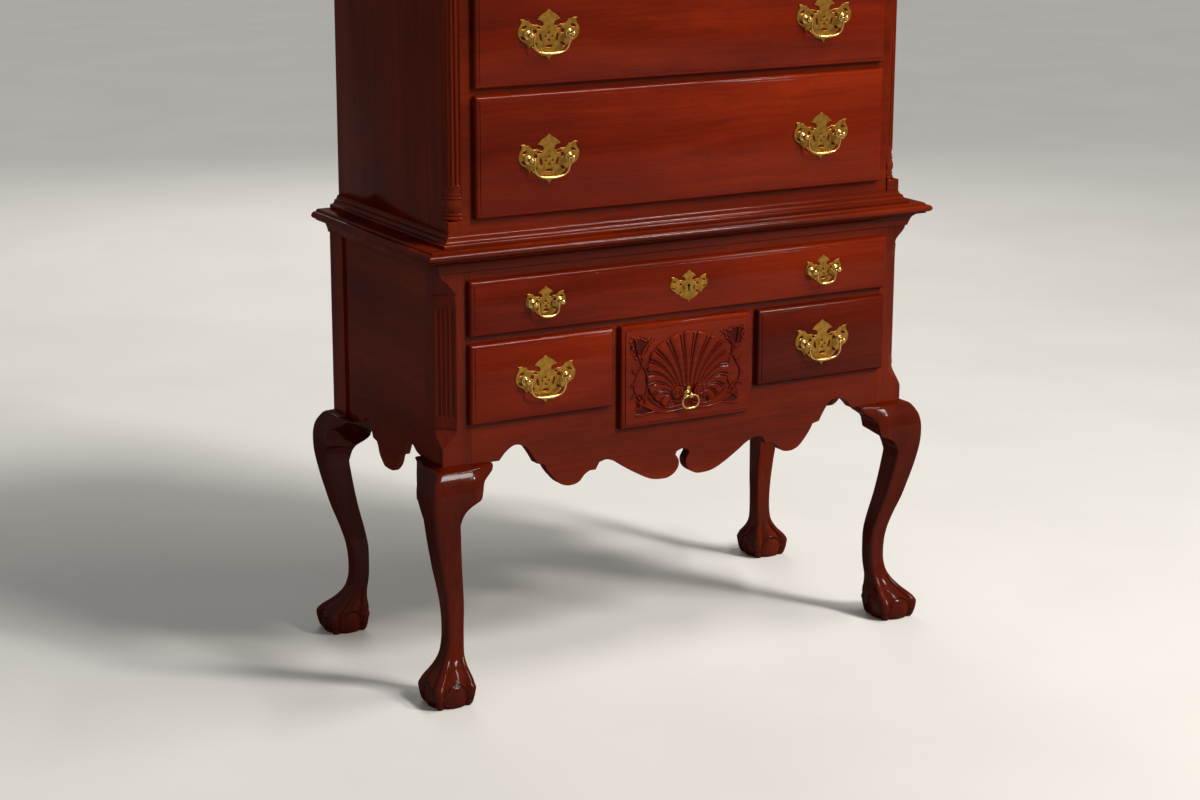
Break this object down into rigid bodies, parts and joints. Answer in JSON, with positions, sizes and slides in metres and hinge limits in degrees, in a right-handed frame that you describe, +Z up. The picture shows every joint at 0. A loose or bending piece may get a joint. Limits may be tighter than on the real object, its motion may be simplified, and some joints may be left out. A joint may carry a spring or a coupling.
{
  "type": "highboy",
  "caption": "Tall two-part chest of drawers on cabriole legs with claw feet, a shell-carved centre drawer, brass bail handles and a scrolled crown.",
  "frame": {"origin": "on the floor, under the middle of the chest", "axes": "+Z up, the drawers open towards -Y, +X to the right of someone facing the drawers"},
  "size_m": [0.9968, 0.5088, 1.926],
  "materials": {
    "case_mahogany": "semi-gloss lacquer over red-brown mahogany",
    "drawer_mahogany": "semi-gloss lacquer over red-brown mahogany",
    "drawer_lining": "sanded, unfinished pale hardwood",
    "back_boards": "stained, unpolished",
    "brass": "aged polished brass"
  },
  "bodies": {
    "case": {"leg_front_left": "case_mahogany", "leg_front_right": "case_mahogany", "leg_rear_left": "case_mahogany", "leg_rear_right": "case_mahogany", "lower_front_frame": "case_mahogany", "lower_side_left": "case_mahogany", "lower_side_right": "case_mahogany", "lower_back": "back_boards", "waist_moulding": "case_mahogany", "upper_front_frame": "case_mahogany", "upper_side_left": "case_mahogany", "upper_side_right": "case_mahogany", "upper_back": "back_boards", "quarter_column_left": "case_mahogany", "quarter_column_right": "case_mahogany", "pediment": "case_mahogany", "finial": "case_mahogany"},
    "lower_long_drawer": {"lower_long_drawer_front": "drawer_mahogany", "lower_long_drawer_box": "drawer_lining", "lower_long_drawer_escutcheon": "brass", "lower_long_drawer_plate_left": "brass", "lower_long_drawer_plate_right": "brass"},
    "lower_left_drawer": {"lower_left_drawer_front": "drawer_mahogany", "lower_left_drawer_box": "drawer_lining", "lower_left_drawer_plate": "brass"},
    "lower_shell_drawer": {"lower_shell_drawer_front": "drawer_mahogany", "lower_shell_drawer_box": "drawer_lining", "lower_shell_drawer_pull_post": "brass"},
    "lower_right_drawer": {"lower_right_drawer_front": "drawer_mahogany", "lower_right_drawer_box": "drawer_lining", "lower_right_drawer_plate": "brass"},
    "upper_drawer_1": {"upper_drawer_1_front": "drawer_mahogany", "upper_drawer_1_box": "drawer_lining", "upper_drawer_1_plate_left": "brass", "upper_drawer_1_plate_right": "brass"},
    "upper_drawer_2": {"upper_drawer_2_front": "drawer_mahogany", "upper_drawer_2_box": "drawer_lining", "upper_drawer_2_plate_left": "brass", "upper_drawer_2_plate_right": "brass"},
    "upper_drawer_3": {"upper_drawer_3_front": "drawer_mahogany", "upper_drawer_3_box": "drawer_lining", "upper_drawer_3_plate_left": "brass", "upper_drawer_3_plate_right": "brass"},
    "upper_drawer_4": {"upper_drawer_4_front": "drawer_mahogany", "upper_drawer_4_box": "drawer_lining", "upper_drawer_4_plate_left": "brass", "upper_drawer_4_plate_right": "brass"},
    "lower_long_drawer_bail_left": {"lower_long_drawer_bail_left": "brass"},
    "lower_long_drawer_bail_right": {"lower_long_drawer_bail_right": "brass"},
    "lower_left_drawer_bail": {"lower_left_drawer_bail": "brass"},
    "lower_right_drawer_bail": {"lower_right_drawer_bail": "brass"},
    "lower_shell_drawer_pull_ring": {"lower_shell_drawer_pull_ring": "brass"},
    "upper_drawer_1_bail_left": {"upper_drawer_1_bail_left": "brass"},
    "upper_drawer_1_bail_right": {"upper_drawer_1_bail_right": "brass"},
    "upper_drawer_2_bail_left": {"upper_drawer_2_bail_left": "brass"},
    "upper_drawer_2_bail_right": {"upper_drawer_2_bail_right": "brass"},
    "upper_drawer_3_bail_left": {"upper_drawer_3_bail_left": "brass"},
    "upper_drawer_3_bail_right": {"upper_drawer_3_bail_right": "brass"},
    "upper_drawer_4_bail_left": {"upper_drawer_4_bail_left": "brass"},
    "upper_drawer_4_bail_right": {"upper_drawer_4_bail_right": "brass"}
  },
  "joints": [
    {"name": "lower_long_drawer_slide", "type": "slide", "parent": "case", "child": "lower_long_drawer", "axis": [0, -1, 0], "range_m": [0, 0.3]},
    {"name": "lower_left_drawer_slide", "type": "slide", "parent": "case", "child": "lower_left_drawer", "axis": [0, -1, 0], "range_m": [0, 0.3]},
    {"name": "lower_shell_drawer_slide", "type": "slide", "parent": "case", "child": "lower_shell_drawer", "axis": [0, -1, 0], "range_m": [0, 0.3]},
    {"name": "lower_right_drawer_slide", "type": "slide", "parent": "case", "child": "lower_right_drawer", "axis": [0, -1, 0], "range_m": [0, 0.3]},
    {"name": "upper_drawer_1_slide", "type": "slide", "parent": "case", "child": "upper_drawer_1", "axis": [0, -1, 0], "range_m": [0, 0.3]},
    {"name": "upper_drawer_2_slide", "type": "slide", "parent": "case", "child": "upper_drawer_2", "axis": [0, -1, 0], "range_m": [0, 0.3]},
    {"name": "upper_drawer_3_slide", "type": "slide", "parent": "case", "child": "upper_drawer_3", "axis": [0, -1, 0], "range_m": [0, 0.3]},
    {"name": "upper_drawer_4_slide", "type": "slide", "parent": "case", "child": "upper_drawer_4", "axis": [0, -1, 0], "range_m": [0, 0.3]},
    {"name": "lower_long_drawer_bail_left_swing", "type": "hinge", "parent": "lower_long_drawer", "child": "lower_long_drawer_bail_left", "pos_m": [-0.277, -0.2446, 0.6739], "axis": [-1, 0, 0], "range_deg": [-10, 95]},
    {"name": "lower_long_drawer_bail_right_swing", "type": "hinge", "parent": "lower_long_drawer", "child": "lower_long_drawer_bail_right", "pos_m": [0.277, -0.2446, 0.6739], "axis": [-1, 0, 0], "range_deg": [-10, 95]},
    {"name": "lower_left_drawer_bail_swing", "type": "hinge", "parent": "lower_left_drawer", "child": "lower_left_drawer_bail", "pos_m": [-0.27785, -0.2446, 0.5447], "axis": [-1, 0, 0], "range_deg": [-10, 95]},
    {"name": "lower_right_drawer_bail_swing", "type": "hinge", "parent": "lower_right_drawer", "child": "lower_right_drawer_bail", "pos_m": [0.27785, -0.2446, 0.5447], "axis": [-1, 0, 0], "range_deg": [-10, 95]},
    {"name": "lower_shell_drawer_pull_ring_swing", "type": "hinge", "parent": "lower_shell_drawer", "child": "lower_shell_drawer_pull_ring", "pos_m": [0, -0.2438, 0.4837], "axis": [-1, 0, 0], "range_deg": [-10, 95]},
    {"name": "upper_drawer_1_bail_left_swing", "type": "hinge", "parent": "upper_drawer_1", "child": "upper_drawer_1_bail_left", "pos_m": [-0.268, -0.2406, 0.9113], "axis": [-1, 0, 0], "range_deg": [-10, 95]},
    {"name": "upper_drawer_1_bail_right_swing", "type": "hinge", "parent": "upper_drawer_1", "child": "upper_drawer_1_bail_right", "pos_m": [0.268, -0.2406, 0.9113], "axis": [-1, 0, 0], "range_deg": [-10, 95]},
    {"name": "upper_drawer_2_bail_left_swing", "type": "hinge", "parent": "upper_drawer_2", "child": "upper_drawer_2_bail_left", "pos_m": [-0.268, -0.2406, 1.1122], "axis": [-1, 0, 0], "range_deg": [-10, 95]},
    {"name": "upper_drawer_2_bail_right_swing", "type": "hinge", "parent": "upper_drawer_2", "child": "upper_drawer_2_bail_right", "pos_m": [0.268, -0.2406, 1.1122], "axis": [-1, 0, 0], "range_deg": [-10, 95]},
    {"name": "upper_drawer_3_bail_left_swing", "type": "hinge", "parent": "upper_drawer_3", "child": "upper_drawer_3_bail_left", "pos_m": [-0.268, -0.2406, 1.2946], "axis": [-1, 0, 0], "range_deg": [-10, 95]},
    {"name": "upper_drawer_3_bail_right_swing", "type": "hinge", "parent": "upper_drawer_3", "child": "upper_drawer_3_bail_right", "pos_m": [0.268, -0.2406, 1.2946], "axis": [-1, 0, 0], "range_deg": [-10, 95]},
    {"name": "upper_drawer_4_bail_left_swing", "type": "hinge", "parent": "upper_drawer_4", "child": "upper_drawer_4_bail_left", "pos_m": [-0.268, -0.2406, 1.4595], "axis": [-1, 0, 0], "range_deg": [-10, 95]},
    {"name": "upper_drawer_4_bail_right_swing", "type": "hinge", "parent": "upper_drawer_4", "child": "upper_drawer_4_bail_right", "pos_m": [0.268, -0.2406, 1.4595], "axis": [-1, 0, 0], "range_deg": [-10, 95]}
  ]
}
